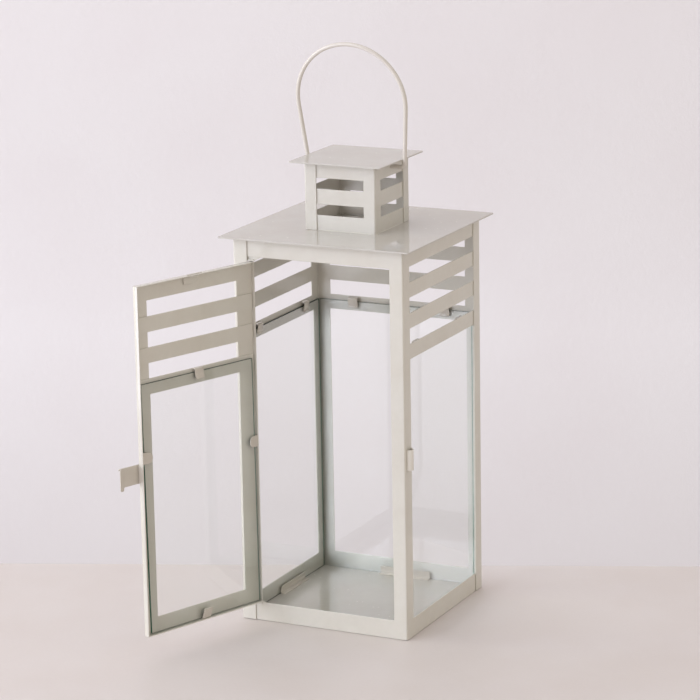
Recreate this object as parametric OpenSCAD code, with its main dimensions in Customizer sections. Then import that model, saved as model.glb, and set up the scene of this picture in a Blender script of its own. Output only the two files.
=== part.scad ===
// Square sheet-steel candle lantern with a glazed side door and a wire bail.
// Millimetres, +Z up. The origin is the middle of the square the lantern stands on.
// The doorway faces -Y. The door hangs on the left of it, and the latch is on the right.

/* [Body] */
// Outside width of the square body, across the front sheet
body_w = 140; // [120:1:180]
// Height of the body, from the table to the underside of the roof
body_h = 301; // [270:1:360]
// Thickness of the body and chimney sheet
sheet_t = 0.8; // [0.6:0.1:1.2]
// Width of the corner posts beside the side windows, and of the wrap-round tabs
post_w = 11.6; // [9:0.2:16]
// Width of the front post on the latch side
latch_post_w = 11; // [9:0.2:16]
// Height of the rail under the windows and the doorway
base_rail_h = 14.5; // [11:0.5:20]
// Height of the rail above the slats and the doorway
top_rail_h = 14.3; // [11:0.1:20]
// Height of one slat in a side wall
slat_h = 11.7; // [8:0.1:14]
// Height of one gap between the slats
gap_h = 11.7; // [8:0.1:14]
// Number of slats above each window
slat_n = 3; // [3:1:4]
// Inner radius of the bent corners of the sheets
bend_inner_r = 0.4; // [0.3:0.1:2]
// Width of the flange turned in under the floor
floor_flange_w = 7; // [5:0.5:10]
// Width of the flange turned in under the roof
roof_flange_w = 6; // [4:0.5:10]

/* [Floor and roof] */
// Thickness of the floor plate
floor_t = 0.8; // [0.6:0.1:1.5]
// Thickness of the roof plate
roof_t = 1.0; // [0.8:0.1:2]
// How far the roof plate stands out past the body
roof_over = 9; // [5:0.5:15]
// Rounding of the corners of the roof and cap plates
plate_corner_r = 1.5; // [0.5:0.1:3]

/* [Chimney] */
// Outside width of the square chimney
chim_w = 58.6; // [50:0.2:76]
// Height of the chimney, between the roof and the cap
chim_h = 52; // [46:1:64]
// Height of each chimney gap
chim_gap_h = 8.3; // [6:0.1:11]
// Width of the chimney posts and tabs
chim_post_w = 9.8; // [8:0.2:12]
// Width of the flanges turned in at the foot and head of the chimney
chim_flange_w = 4.5; // [3.5:0.5:7]
// Thickness of the cap plate
cap_t = 1.0; // [0.8:0.1:2]
// How far the cap plate stands out past the chimney
cap_over = 9.1; // [6:0.1:12]

/* [Glass] */
// Thickness of the panes
glass_t = 2.0; // [1.5:0.1:3]
// How far a fixed pane reaches up behind the lowest slat
glass_lap = 7.5; // [5:0.5:8]
// Free space beside the edge of a fixed pane
glass_edge_gap = 0.4; // [0.3:0.1:1]
// Free space between a fixed pane and the door side of the body
glass_front_gap = 1.2; // [1:0.1:3]

/* [Pane clips and brackets] */
// Width of a pane clip
clip_w = 8.5; // [6:0.5:12]
// Thickness of the clip and bracket strip
clip_t = 0.6; // [0.5:0.1:1]
// How far a clip reaches down over the glass
clip_reach = 5; // [3:0.5:7]
// How far a clip's foot reaches up on its slat
clip_foot_h = 3.2; // [2.5:0.1:3.5]
// How far a clip's bend stands out from its slat
clip_out = 4.4; // [4:0.1:5.5]
// Place of the left clip, from the middle of its pane
clip_left = 37.2; // [25:0.2:45]
// Place of the right clip, from the middle of its pane
clip_right = 42; // [25:0.2:45]
// Length of the long bracket at the foot of a pane
bracket_l = 42; // [30:1:60]
// Place of the left bracket, behind the middle of its pane
bracket_left_set = 9; // [0:0.5:12]
// Place of the back bracket, right of the middle of its pane
bracket_back_set = 4.5; // [0:0.5:12]
// Height of the long bracket
bracket_h = 7; // [5:0.5:10]
// How far the long bracket's foot reaches in over the floor
bracket_foot_w = 8; // [5:0.5:12]

/* [Door] */
// How far the door stands open in degrees
door_open = 110.6; // [0:0.1:112]
// Thickness of the door sheet
door_t = 0.8; // [0.6:0.1:1]
// Depth of the flanges turned in round the door
door_depth = 5.2; // [4.8:0.1:8]
// Depth of the flange turned in along the hinge side
hinge_flange_d = 3.9; // [3.7:0.1:4.8]
// Width of the door's stile on the hinge side
door_hinge_stile_w = 15.7; // [10:0.1:18]
// Width of the door's stile on the latch side
door_latch_stile_w = 12.5; // [10:0.1:18]
// Height of the door's top and bottom rails
door_rail_h = 12.8; // [10:0.2:18]
// Height of one door slat
door_slat_h = 11.7; // [8:0.1:14]
// Height of one gap between the door slats
door_gap_h = 11.7; // [8:0.1:14]
// Length of the slot in the door's top flange
top_slot_l = 15; // [8:0.5:24]
// Width of the slot in the door's top flange
top_slot_w = 2.2; // [1:0.1:2.6]
// How far the door glass reaches up behind the lowest door slat
door_glass_lap = 10.2; // [6:0.2:10.4]
// Free space beside the edge of the door glass
door_glass_gap = 1.4; // [1.1:0.1:3]
// How far a door clip reaches over the glass from the door's edge
door_clip_reach = 9; // [6:0.5:12]
// Height of the middle of the hinge-side clip above the door's foot
hinge_clip_z = 129; // [60:1:180]
// Height of the middle of the free-side clip above the door's foot
free_clip_z = 138; // [60:1:180]

/* [Hinge] */
// Diameter of the hinge pins
pin_d = 1.5; // [1.2:0.1:1.6]
// Distance of the pin axis behind the door's two outer faces
pin_inset = 1.2; // [1.1:0.1:1.4]
// Free space between the tab's edge and the closed door
hinge_gap = 1.1; // [1.1:0.1:2]
// Free space between the latch post and the closed door
latch_gap = 0.5; // [0.4:0.1:1.5]
// Free space above and below the door
door_end_gap = 0.5; // [0.4:0.1:1]
// How far the closed door stands proud of the front sheet
door_proud = 0.35; // [0.3:0.05:0.6]
// Thickness of the two hinge lugs
lug_t = 1.2; // [1:0.1:1.6]
// How far the upper lug hangs below the top rail
lug_drop = 3; // [2.5:0.1:5]
// Radial clearance of the pin in its lug
pin_clear = 0.05; // [0.03:0.01:0.08]

/* [Latch] */
// How far the latch plate stands out past the door's free edge
latch_out = 17.3; // [14:0.1:22]
// Height of the latch plate
latch_h = 14.8; // [10:0.2:20]
// Thickness of the latch plate
latch_t = 0.8; // [0.6:0.1:1.2]
// How far the latch plate is lapped on to the door
latch_lap = 9; // [6:0.5:12]
// Length of the finger lip along the top of the latch plate's tip
latch_lip_l = 7; // [4:0.5:12]
// How far the finger lip stands out
latch_lip = 2; // [1:0.1:4]
// Height of the middle of the latch above the table
latch_z = 141.7; // [100:0.1:180]
// Width of the tooth under the latch plate's tip
tooth_w = 3.2; // [2:0.1:5]
// Depth of the tooth under the latch plate's tip
tooth_h = 2.9; // [1.5:0.1:5]
// Outer radius of the half-round keeper loop
keeper_r = 3.7; // [2.8:0.1:4]
// Length of the keeper loop, up the post
keeper_h = 16.6; // [10:0.2:20]
// Width of the keeper's flat foot, behind the loop
keeper_foot_w = 1.4; // [1:0.1:2]
// How far the loop's front edge stands clear of the post
keeper_lift = 0.6; // [0.3:0.1:1]
// How far the keeper's middle lies below the latch plate's middle
keeper_drop = 1.4; // [0:0.1:3]

/* [Bail] */
// Diameter of the bail wire
wire_d = 3.2; // [2.4:0.1:4]
// Height of the top of the bail's centre line above its pivots
bail_h = 93.8; // [80:0.2:110]
// Radius of the bail's round top
bail_r = 44.8; // [43:0.2:48]
// Free space between the bail and the cap plate's edge, at the pivots
bail_gap = 0.3; // [0.3:0.1:1.5]
// Inner bend at the foot of each leg, to the wire's centre line
bail_bend_r = 4; // [3:0.5:6]
// Height of the bail's holes below the cap
bail_drop = 5; // [4:0.1:6]
// How far each end of the wire stands inside the chimney
bail_end = 4; // [2:0.5:6]
// Radial clearance of the wire in its holes
bail_clear = 0.05; // [0.03:0.01:0.08]
// How far the bail leans towards the front in degrees
bail_lean = 8; // [-90:1:90]

/* [Hidden] */

$fn = 48;
// How far a cutting shape runs past the faces it cuts
over = 1;
// Free space where the end of one sheet meets another
seam_gap = 0.1;
// How far the hidden stiles stand back behind the tabs' edges
stile_set = 0.4;
// How much thinner than the bends the straight lengths of the bail wire are drawn
wire_ease = 0.02;
// How far a straight length of the bail wire runs into a bend
wire_lap = 0.1;
// How far a lug reaches round its pin
lug_reach = 3;
// How far a hinge bracket reaches behind the post
bracket_back = 8;
// Height of a hinge bracket on the sheet
bracket_web_h = 10;

// Outer radius of the bent corners of the sheets
bend_r = bend_inner_r + sheet_t;

// Levels, from the table up
side = body_w / 2;
inner = side - sheet_t;
rail_top = base_rail_h;
lintel = body_h - top_rail_h;
pitch = slat_h + gap_h;
window_top = lintel - slat_n * pitch;
roof_top = body_h + roof_t;
chim_top = roof_top + chim_h;
floor_top = sheet_t + floor_t;

// Doorway
tab_edge = -side + post_w;
door_post = side - latch_post_w;

// Door, drawn closed: x along the door, y into the body
door_x0 = tab_edge + hinge_gap;
door_x1 = door_post - latch_gap;
door_y0 = -side - door_proud;
door_y1 = door_y0 + door_depth;
door_z0 = rail_top + door_end_gap;
lug_z = lintel - lug_drop;
door_z1 = lug_z - door_end_gap;
door_mid = (door_x0 + door_x1) / 2;
hinge_x = door_x0 + pin_inset;
hinge_y = door_y0 + pin_inset;
door_open_x0 = door_x0 + door_hinge_stile_w;
door_open_x1 = door_x1 - door_latch_stile_w;
door_open_z0 = door_z0 + door_rail_h;
door_open_z1 = door_z1 - door_rail_h;
door_pitch = door_slat_h + door_gap_h;
door_head = door_open_z1 - slat_n * door_pitch;
slat_face = door_y0 + 2 * door_t;
door_glass_z0 = door_z0 + door_t + clip_t;
door_glass_z1 = door_head + door_glass_lap;
door_glass_face = slat_face + glass_t;

// Chimney
chim_side = chim_w / 2;
chim_inner = chim_side - sheet_t;
chim_rail_h = (chim_h - 2 * chim_gap_h) / 3;

// Fixed panes, drawn at the back wall: x to the right, y outwards
pane_y1 = side - sheet_t;
pane_y0 = pane_y1 - glass_t;
pane_top = window_top + glass_lap;

// Bail, drawn upright: its pivots lie on the x axis through bail_z
bail_z = chim_top - bail_drop;
foot_x = chim_side + cap_over + bail_gap + wire_d / 2;
arch_z = bail_h - bail_r;
arch_far = sqrt(foot_x * foot_x + arch_z * arch_z);
leg_angle = atan2(arch_z, -foot_x) - asin(bail_r / arch_far);
leg_l = sqrt(arch_far * arch_far - bail_r * bail_r);
bend_trim = bail_bend_r * tan(leg_angle / 2);
bail_hole_d = wire_d + 2 * bail_clear;

// A box given by its low and high corners
module block(low, high) {
    translate(low) cube(high - low);
}

// Plan of a square tube of sheet, w across, with its four corners bent to radius r
module tube_plan(w, t, r) {
    difference() {
        round_square(w, r);
        round_square(w - 2 * t, r - t);
    }
}

module round_square(w, r) {
    square([w - 2 * r, w], center = true);
    square([w, w - 2 * r], center = true);
    for (x = [-1, 1])
        for (y = [-1, 1])
            translate([x * (w / 2 - r), y * (w / 2 - r)]) circle(r);
}

// Square with only its front-right corner rounded
module bent_square(w, r) {
    translate([-w / 2, -w / 2]) square([w - r, w]);
    translate([-w / 2, -w / 2 + r]) square([w, w - r]);
    translate([w / 2 - r, -w / 2 + r]) circle(r);
}

// Plan of the inner sheet: the front wall and the right wall of a square w across. Each
// ends just short of the outer sheet's bend.
module inner_sheet_plan(w, t, r) {
    difference() {
        bent_square(w, r);
        bent_square(w - 2 * t, r - t);
        translate([-w, -w]) square([w / 2 + r + seam_gap, 2 * w]);
        translate([-w, w / 2 - r - seam_gap]) square([2 * w, w]);
    }
}

// Plan of the outer sheet: the left and back walls of the same square, and a tab that
// laps round the inner sheet at the front-left and the back-right corner
module outer_sheet_plan(w, t, r, tab) {
    difference() {
        translate([t / 2, -t / 2]) tube_plan(w + t, t, r);
        translate([-w / 2 + tab, -w]) square([2 * w, 3 * w / 2 - tab]);
    }
}

// Flanges turned in from two walls of a square w across: the front and right walls for
// turn 0, the back and left walls for turn 180. They lie from z up.
module turned_flanges(w, t, flange_w, z, turn) {
    i = w / 2 - t;
    rotate([0, 0, turn]) {
        block([-i + flange_w + seam_gap, -i - t / 2, z], [i, -i + flange_w, z + t]);
        block([i - flange_w, -i, z], [i + t / 2, i - flange_w - seam_gap, z + t]);
    }
}

// The slat gaps and the window of a side wall, as a cutter along y between x0 and x1
module wall_openings(x0, x1) {
    block([x0, -over, rail_top], [x1, over, window_top]);
    for (i = [0 : slat_n - 1])
        block([x0, -over, lintel - i * pitch - gap_h], [x1, over, lintel - i * pitch]);
}

// The two gaps of a chimney wall, as a cutter along y between x0 and x1
module chimney_openings(x0, x1) {
    for (i = [0 : 1]) {
        z = roof_top + chim_rail_h + i * (chim_rail_h + chim_gap_h);
        block([x0, -over, z], [x1, over, z + chim_gap_h]);
    }
}

// Body --------------------------------------------------------------------------

// Front frame and right wall, one sheet bent at the front-right corner
module shell_front_right() {
    color("gainsboro")
    difference() {
        union() {
            linear_extrude(body_h) inner_sheet_plan(body_w, sheet_t, bend_r);
            turned_flanges(body_w, sheet_t, floor_flange_w, 0, 0);
            turned_flanges(body_w, sheet_t, roof_flange_w, body_h - sheet_t, 0);
        }
        // doorway
        block([tab_edge - stile_set, -side - over, rail_top],
              [door_post, -inner + over, lintel]);
        // seat of the lower hinge lug, cut into the bottom rail
        block([tab_edge - stile_set, -side - over, rail_top - lug_t - seam_gap],
              [hinge_x + lug_reach + seam_gap, -inner + over, rail_top + over]);
        translate([side - sheet_t / 2, 0, 0])
            rotate([0, 0, 90]) wall_openings(-side + post_w, side - post_w + stile_set);
    }
}

// Back wall and left wall, one sheet, with its two wrap-round tabs
module shell_back_left() {
    color("gainsboro")
    difference() {
        union() {
            linear_extrude(body_h) outer_sheet_plan(body_w, sheet_t, bend_r, post_w);
            turned_flanges(body_w, sheet_t, floor_flange_w, 0, 180);
            turned_flanges(body_w, sheet_t, roof_flange_w, body_h - sheet_t, 180);
        }
        translate([0, side - sheet_t / 2, 0]) wall_openings(-side + post_w, side - post_w);
        translate([-side + sheet_t / 2, 0, 0])
            rotate([0, 0, 90]) wall_openings(-side + post_w, side - post_w);
    }
}

// Floor plate, laid on the turned-in flanges
module floor_plate() {
    w = 2 * (inner - seam_gap);
    color("gainsboro")
    translate([0, 0, sheet_t])
        linear_extrude(floor_t) round_square(w, bend_r);
}

// Roof plate, with the vent under the chimney
module roof_plate() {
    vent_w = chim_w - 2 * (sheet_t + chim_flange_w);
    color("gainsboro")
    translate([0, 0, body_h])
        linear_extrude(roof_t)
            difference() {
                round_square(body_w + 2 * roof_over, plate_corner_r);
                square([vent_w, vent_w], center = true);
            }
}

// Front and right walls of the chimney
module chimney_front_right() {
    color("gainsboro")
    difference() {
        union() {
            translate([0, 0, roof_top])
                linear_extrude(chim_h) inner_sheet_plan(chim_w, sheet_t, bend_r);
            turned_flanges(chim_w, sheet_t, chim_flange_w, roof_top, 0);
            turned_flanges(chim_w, sheet_t, chim_flange_w, chim_top - sheet_t, 0);
        }
        translate([0, -chim_side + sheet_t / 2, 0])
            chimney_openings(-chim_side + chim_post_w - stile_set, chim_side - chim_post_w);
        translate([chim_side - sheet_t / 2, 0, 0])
            rotate([0, 0, 90])
                chimney_openings(-chim_side + chim_post_w, chim_side - chim_post_w + stile_set);
        translate([chim_side - sheet_t / 2, 0, bail_z])
            rotate([0, 90, 0]) cylinder(h = 2 * sheet_t, d = bail_hole_d, center = true);
    }
}

// Back and left walls of the chimney, with their two tabs
module chimney_back_left() {
    color("gainsboro")
    difference() {
        union() {
            translate([0, 0, roof_top])
                linear_extrude(chim_h)
                    outer_sheet_plan(chim_w, sheet_t, bend_r, chim_post_w);
            turned_flanges(chim_w, sheet_t, chim_flange_w, roof_top, 180);
            turned_flanges(chim_w, sheet_t, chim_flange_w, chim_top - sheet_t, 180);
        }
        translate([0, chim_side - sheet_t / 2, 0])
            chimney_openings(-chim_side + chim_post_w, chim_side - chim_post_w);
        translate([-chim_side + sheet_t / 2, 0, 0])
            rotate([0, 0, 90])
                chimney_openings(-chim_side + chim_post_w, chim_side - chim_post_w);
        translate([-chim_side + sheet_t / 2, 0, bail_z])
            rotate([0, 90, 0]) cylinder(h = 2 * sheet_t, d = bail_hole_d, center = true);
    }
}

// Cap plate over the chimney
module cap_plate() {
    color("gainsboro")
    translate([0, 0, chim_top])
        linear_extrude(cap_t) round_square(chim_w + 2 * cap_over, plate_corner_r);
}

// Fixed glazing ------------------------------------------------------------------

// A pane against a side wall. It is drawn at the back wall, between x0 and x1, and
// turned to its own wall by the caller.
module pane(x0, x1) {
    color("lightcyan", 0.4)
    block([x0, pane_y0, floor_top], [x1, pane_y1, pane_top]);
}

// Side view of a hooked clip. Its foot lies on the sheet at x = 0 and is foot_h high, its
// ledge passes over the top of the glass at y = 0, and its lip leans back on to the glass.
module clip_profile(foot_h) {
    z = seam_gap;
    polygon([[0, z + foot_h], [0, z], [clip_out - clip_t, z], [glass_t, -clip_reach],
             [glass_t + clip_t, -clip_reach], [clip_out, z], [clip_out, z + clip_t],
             [clip_t, z + clip_t], [clip_t, z + foot_h]]);
}

// Strip bent to that side view, standing out towards +y
module hooked_clip(foot_h) {
    translate([-clip_w / 2, 0, 0])
        rotate([90, 0, 90]) linear_extrude(clip_w) clip_profile(foot_h);
}

// Two clips on the lowest slat of a side wall, hooked over the top of the pane
module pane_clips() {
    for (x = [-clip_left, clip_right])
        color("whitesmoke")
        translate([x, pane_y1, pane_top]) rotate([0, 0, 180]) hooked_clip(clip_foot_h);
}

// Long angle on the floor that holds the foot of a pane, set off its middle along x
module pane_bracket(set) {
    color("whitesmoke")
    translate([set - bracket_l / 2, 0, 0]) {
        block([0, pane_y0 - clip_t, floor_top], [bracket_l, pane_y0, floor_top + bracket_h]);
        block([0, pane_y0 - bracket_foot_w, floor_top], [bracket_l, pane_y0, floor_top + clip_t]);
    }
}

module glass_back() {
    x1 = inner - bend_inner_r - glass_edge_gap;
    pane(-x1, x1);
}

module glass_left() {
    rotate([0, 0, 90]) pane(-inner + glass_front_gap, pane_y0 - glass_edge_gap);
}

module glass_right() {
    rotate([0, 0, -90]) pane(-pane_y0 + glass_edge_gap, inner - glass_front_gap);
}

module clips_back() {
    pane_clips();
}

module clips_left() {
    rotate([0, 0, 90]) pane_clips();
}

module clips_right() {
    rotate([0, 0, -90]) pane_clips();
}

module bracket_back() {
    pane_bracket(bracket_back_set);
}

module bracket_left() {
    rotate([0, 0, 90]) pane_bracket(bracket_left_set);
}

module bracket_right() {
    rotate([0, 0, -90]) pane_bracket(0);
}

// Hinge and latch on the body ------------------------------------------------------

// A lug under or over the door with the bore for its pin, from z up
module hinge_lug(z) {
    block([door_x0 - hinge_gap / 2, hinge_y - pin_inset, z],
          [hinge_x + lug_reach, -inner + lug_reach, z + lug_t]);
}

module hinge_bore(z) {
    translate([hinge_x, hinge_y, z - over])
        cylinder(h = lug_t + over, d = pin_d + 2 * pin_clear);
}

// Upper bracket: a web behind the top rail with a sloping end, and the lug below it
module hinge_bracket_top() {
    x0 = tab_edge - bracket_back;
    x1 = hinge_x + lug_reach;
    color("gainsboro")
    difference() {
        union() {
            translate([0, -inner + sheet_t, 0])
                rotate([90, 0, 0])
                    linear_extrude(sheet_t)
                        polygon([[x0, lug_z], [x1, lug_z], [x1 + 2 * lug_drop, lintel],
                                 [x1 + 2 * lug_drop, lintel + bracket_web_h],
                                 [x0, lintel + bracket_web_h]]);
            hinge_lug(lug_z);
        }
        hinge_bore(lug_z);
    }
}

// Lower bracket: a web behind the bottom rail, with its lug flush with the rail's top
module hinge_bracket_bottom() {
    x0 = tab_edge - bracket_back;
    z = rail_top - lug_t;
    color("gainsboro")
    difference() {
        union() {
            block([x0, -inner, rail_top - bracket_web_h],
                  [hinge_x + 2 * lug_reach, -inner + sheet_t, rail_top]);
            hinge_lug(z);
        }
        translate([0, 0, over]) hinge_bore(z);
    }
}

// Half-round loop on the right post, open at both ends. Its flat foot ends at the edge of
// the window, and its front edge stands a little off the post.
module latch_keeper() {
    y = -side + post_w - keeper_foot_w - keeper_r;
    color("whitesmoke")
    translate([side, y, latch_z - keeper_drop - keeper_h / 2])
        linear_extrude(keeper_h) {
            difference() {
                circle(keeper_r);
                circle(keeper_r - sheet_t);
                translate([-2 * keeper_r, -2 * keeper_r]) square([2 * keeper_r, 4 * keeper_r]);
                translate([-over, -2 * keeper_r]) square([over + keeper_lift, 2 * keeper_r]);
            }
            translate([0, keeper_r - sheet_t / 2]) square([sheet_t, keeper_foot_w + sheet_t / 2]);
        }
}

// Door -------------------------------------------------------------------------------

// Turns a piece drawn on the closed door to where the open door holds it
module hung() {
    translate([hinge_x, hinge_y, 0])
        rotate([0, 0, -door_open])
            translate([-hinge_x, -hinge_y, 0]) children();
}

// Plan of the door, closed: outer edges bent round the pin axis
module door_plan(inset) {
    r = pin_inset - inset;
    x0 = door_x0 + inset;
    x1 = door_x1 - inset;
    y0 = door_y0 + inset;
    translate([x0 + r, y0 + r]) circle(r);
    translate([x1 - r, y0 + r]) circle(r);
    translate([x0 + r, y0]) square([x1 - x0 - 2 * r, r]);
    translate([x0, y0 + r]) square([x1 - x0, door_y1 - y0 - r]);
}

// Shallow pan of sheet with a flange turned in on all four edges
module door_pan() {
    color("gainsboro")
    hung()
        difference() {
            translate([0, 0, door_z0]) linear_extrude(door_z1 - door_z0) door_plan(0);
            translate([0, over, door_z0 + door_t])
                linear_extrude(door_z1 - door_z0 - 2 * door_t)
                    union() {
                        translate([0, -over]) door_plan(door_t);
                        translate([door_x0 + door_t, door_y0 + 2 * door_t])
                            square([door_x1 - door_x0 - 2 * door_t, door_depth]);
                    }
            block([door_open_x0, door_y0 - over, door_open_z0],
                  [door_open_x1, door_y0 + door_t + over, door_open_z1]);
            // the hinge side's shallower flange
            block([door_x0 - over, door_y0 + hinge_flange_d, door_z0 - over],
                  [door_x0 + door_t, door_y1 + over, door_z1 + over]);
            // holes for the pins
            for (z = [door_z0 - over, door_z1 - door_t - over])
                translate([hinge_x, hinge_y, z])
                    cylinder(h = door_t + 2 * over, d = pin_d);
            // slot in the top flange
            block([door_mid - top_slot_l / 2, slat_face, door_z1 - door_t - over],
                  [door_mid + top_slot_l / 2, slat_face + top_slot_w, door_z1 + over]);
        }
}

// One of the slats welded across the pan, counted from the top
module door_slat(i) {
    z1 = door_open_z1 - i * door_pitch - door_gap_h;
    color("gainsboro")
    hung()
        block([door_x0 + pin_inset + seam_gap, door_y0 + door_t, z1 - door_slat_h],
              [door_x1 - pin_inset - seam_gap, slat_face, z1]);
}

module door_slat_high() {
    door_slat(0);
}

module door_slat_middle() {
    for (i = [1 : slat_n - 2])
        door_slat(i);
}

module door_slat_low() {
    door_slat(slat_n - 1);
}

module door_glass() {
    color("lightcyan", 0.4)
    hung()
        block([door_x0 + door_t + door_glass_gap, slat_face, door_glass_z0],
              [door_x1 - door_t - door_glass_gap, door_glass_face, door_glass_z1]);
}

// Clip hooked over the top of the door glass, with its foot on the lowest slat
module door_clip_top() {
    foot_h = door_slat_h - door_glass_lap - seam_gap;
    color("whitesmoke")
    hung()
        translate([door_mid, slat_face, door_glass_z1]) hooked_clip(foot_h);
}

// Clip on the bottom flange, with the glass standing on its foot
module door_clip_bottom() {
    z = door_z0 + door_t;
    color("whitesmoke")
    hung()
        translate([door_mid - clip_w / 2, 0, 0]) {
            block([0, slat_face, z], [clip_w, door_glass_face + clip_t, z + clip_t]);
            block([0, door_glass_face, z], [clip_w, door_glass_face + clip_t, z + door_clip_reach]);
        }
}

// Side clip with a round nose, drawn for the hinge side, with its middle at height z
module side_clip(z) {
    x0 = door_x0 + door_t;
    x1 = door_x0 + door_clip_reach;
    r = clip_w / 2;
    block([x0, slat_face, z - r], [x0 + clip_t, door_glass_face + clip_t, z + r]);
    translate([0, door_glass_face + clip_t, z])
        rotate([90, 0, 0])
            linear_extrude(clip_t)
                intersection() {
                    translate([x0, -r]) square([x1 - x0, 2 * r]);
                    union() {
                        translate([x0, -r]) square([x1 - r - x0, 2 * r]);
                        translate([x1 - r, 0]) circle(r);
                    }
                }
}

module door_clip_hinge_side() {
    color("whitesmoke")
    hung() side_clip(door_z0 + hinge_clip_z);
}

module door_clip_free_side() {
    color("whitesmoke")
    hung()
        translate([2 * door_mid, 0, 0])
            mirror([1, 0, 0]) side_clip(door_z0 + free_clip_z);
}

// Flat plate on the outside of the free edge, with a tooth under its tip and a finger lip
// turned out along the top of it
module latch_plate() {
    x1 = door_x1 + latch_out;
    color("whitesmoke")
    hung()
        translate([0, door_y0, latch_z - latch_h / 2]) {
            rotate([90, 0, 0])
                linear_extrude(latch_t)
                    polygon([[door_x1 - latch_lap, 0], [x1 - tooth_w, 0],
                             [x1 - tooth_w, -tooth_h], [x1, -tooth_h], [x1, latch_h],
                             [door_x1 - latch_lap, latch_h]]);
            block([x1 - latch_lip_l, -latch_t - latch_lip, latch_h - latch_t],
                  [x1, -latch_t / 2, latch_h]);
        }
}

// Pin fixed in the door's top flange, running in the upper lug
module hinge_pin_top() {
    color("silver")
    hung()
        translate([hinge_x, hinge_y, door_z1 - door_t])
            cylinder(h = door_t + door_end_gap + lug_t - seam_gap, d = pin_d);
}

// Pin fixed in the door's bottom flange, running in the lower lug
module hinge_pin_bottom() {
    color("silver")
    hung()
        translate([hinge_x, hinge_y, rail_top - lug_t + seam_gap])
            cylinder(h = door_t + door_end_gap + lug_t - seam_gap, d = pin_d);
}

// Bail ---------------------------------------------------------------------------------

// Straight length of wire along z, from z0 to z1. It is drawn a hair thinner than a bend
// and runs a little way into it.
module straight_wire(z0, z1) {
    translate([0, 0, z0]) cylinder(h = z1 - z0, d = wire_d - wire_ease);
}

// Bent length of wire in the plane y = 0, starting at angle a0 and turning through turn
module bent_wire(r, a0, turn) {
    rotate([90, 0, 0])
        rotate([0, 0, a0])
            rotate_extrude(angle = turn)
                translate([r, 0]) circle(d = wire_d);
}

// One leg of the bail, on the +x side, with its pivot on the x axis
module bail_leg() {
    // end of the wire, through the chimney wall
    rotate([0, 90, 0]) straight_wire(chim_inner - bail_end, foot_x - bend_trim + wire_lap);
    translate([foot_x - bend_trim, 0, bail_bend_r]) bent_wire(bail_bend_r, -90, leg_angle);
    translate([foot_x, 0, 0])
        rotate([0, 90 - leg_angle, 0]) straight_wire(bend_trim - wire_lap, leg_l + wire_lap);
}

module bail_handle() {
    color("whitesmoke")
    translate([0, 0, bail_z])
        rotate([bail_lean, 0, 0]) {
            bail_leg();
            mirror([1, 0, 0]) bail_leg();
            // round top, a little more than half a circle
            translate([0, 0, arch_z]) bent_wire(bail_r, leg_angle - 90, 360 - 2 * leg_angle);
        }
}

shell_front_right();
shell_back_left();
floor_plate();
roof_plate();
chimney_front_right();
chimney_back_left();
cap_plate();
glass_left();
glass_back();
glass_right();
clips_left();
clips_back();
clips_right();
bracket_left();
bracket_back();
bracket_right();
hinge_bracket_top();
hinge_bracket_bottom();
latch_keeper();
door_pan();
door_slat_high();
door_slat_middle();
door_slat_low();
door_glass();
door_clip_top();
door_clip_bottom();
door_clip_hinge_side();
door_clip_free_side();
latch_plate();
hinge_pin_top();
hinge_pin_bottom();
bail_handle();
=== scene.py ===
# %% [markdown]
# # A square sheet-metal candle lantern
#
# The lantern is a box of thin punched steel with a warm grey-white enamel, glazed on four
# sides, with a hinged door, a small slotted chimney and a wire bail. The exact solids come
# from the CAD model, so this lesson is about everything that CAD leaves out: the enamel,
# the glass, the soft edges of real sheet, the bends of the small fittings, the light and
# the camera.
#
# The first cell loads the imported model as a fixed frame. All sizes are in metres, in the
# same frame as the CAD: the origin is at the middle of the foot and the front faces -Y.

# %% Load the frame
import math

import bpy
import numpy as np
from mathutils import Matrix, Vector


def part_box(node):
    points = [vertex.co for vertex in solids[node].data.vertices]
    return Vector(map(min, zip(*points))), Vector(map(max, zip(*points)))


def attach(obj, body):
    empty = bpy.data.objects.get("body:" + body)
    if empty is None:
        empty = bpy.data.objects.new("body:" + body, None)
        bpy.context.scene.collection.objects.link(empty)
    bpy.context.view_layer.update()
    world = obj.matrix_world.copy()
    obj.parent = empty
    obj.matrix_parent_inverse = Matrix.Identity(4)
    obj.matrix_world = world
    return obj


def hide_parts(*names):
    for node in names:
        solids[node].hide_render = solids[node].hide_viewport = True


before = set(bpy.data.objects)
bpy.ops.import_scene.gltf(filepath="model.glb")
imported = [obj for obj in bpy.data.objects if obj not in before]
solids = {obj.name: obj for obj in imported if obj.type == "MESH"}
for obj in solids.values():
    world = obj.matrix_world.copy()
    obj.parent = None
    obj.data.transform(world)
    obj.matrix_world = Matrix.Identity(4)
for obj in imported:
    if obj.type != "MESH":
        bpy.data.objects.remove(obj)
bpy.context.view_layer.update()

MM = 0.001

# %% [markdown]
# ## The camera
#
# A catalogue view of a lantern is taken from far away with a long lens, so that its upright
# edges stay nearly parallel. A camera could be aimed with a Track To constraint. Here its
# three axes are worked out from a turn, a tilt and a slight roll instead, because those are
# the three numbers a photographer sets on a tripod head.

# %% Camera
CAMERA_PLACE = Vector((1.0057, -2.0803, 0.7801))
CAMERA_TURN = math.radians(25.983)
CAMERA_TILT = math.radians(14.006)
CAMERA_ROLL = math.radians(-1.0255)
LENS_LENGTH = 159.29


def tripod_head(place, turn, tilt, roll):
    """A camera matrix: the view turns left from +Y, tilts down, then rolls about its own axis."""
    ahead = Vector(
        (-math.sin(turn) * math.cos(tilt), math.cos(turn) * math.cos(tilt), -math.sin(tilt))
    )
    level = Vector((math.cos(turn), math.sin(turn), 0.0))
    upright = level.cross(ahead)
    right = math.cos(roll) * level + math.sin(roll) * upright
    up = math.cos(roll) * upright - math.sin(roll) * level
    columns = Matrix((right, up, -ahead)).transposed().to_4x4()
    return Matrix.Translation(place) @ columns


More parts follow.
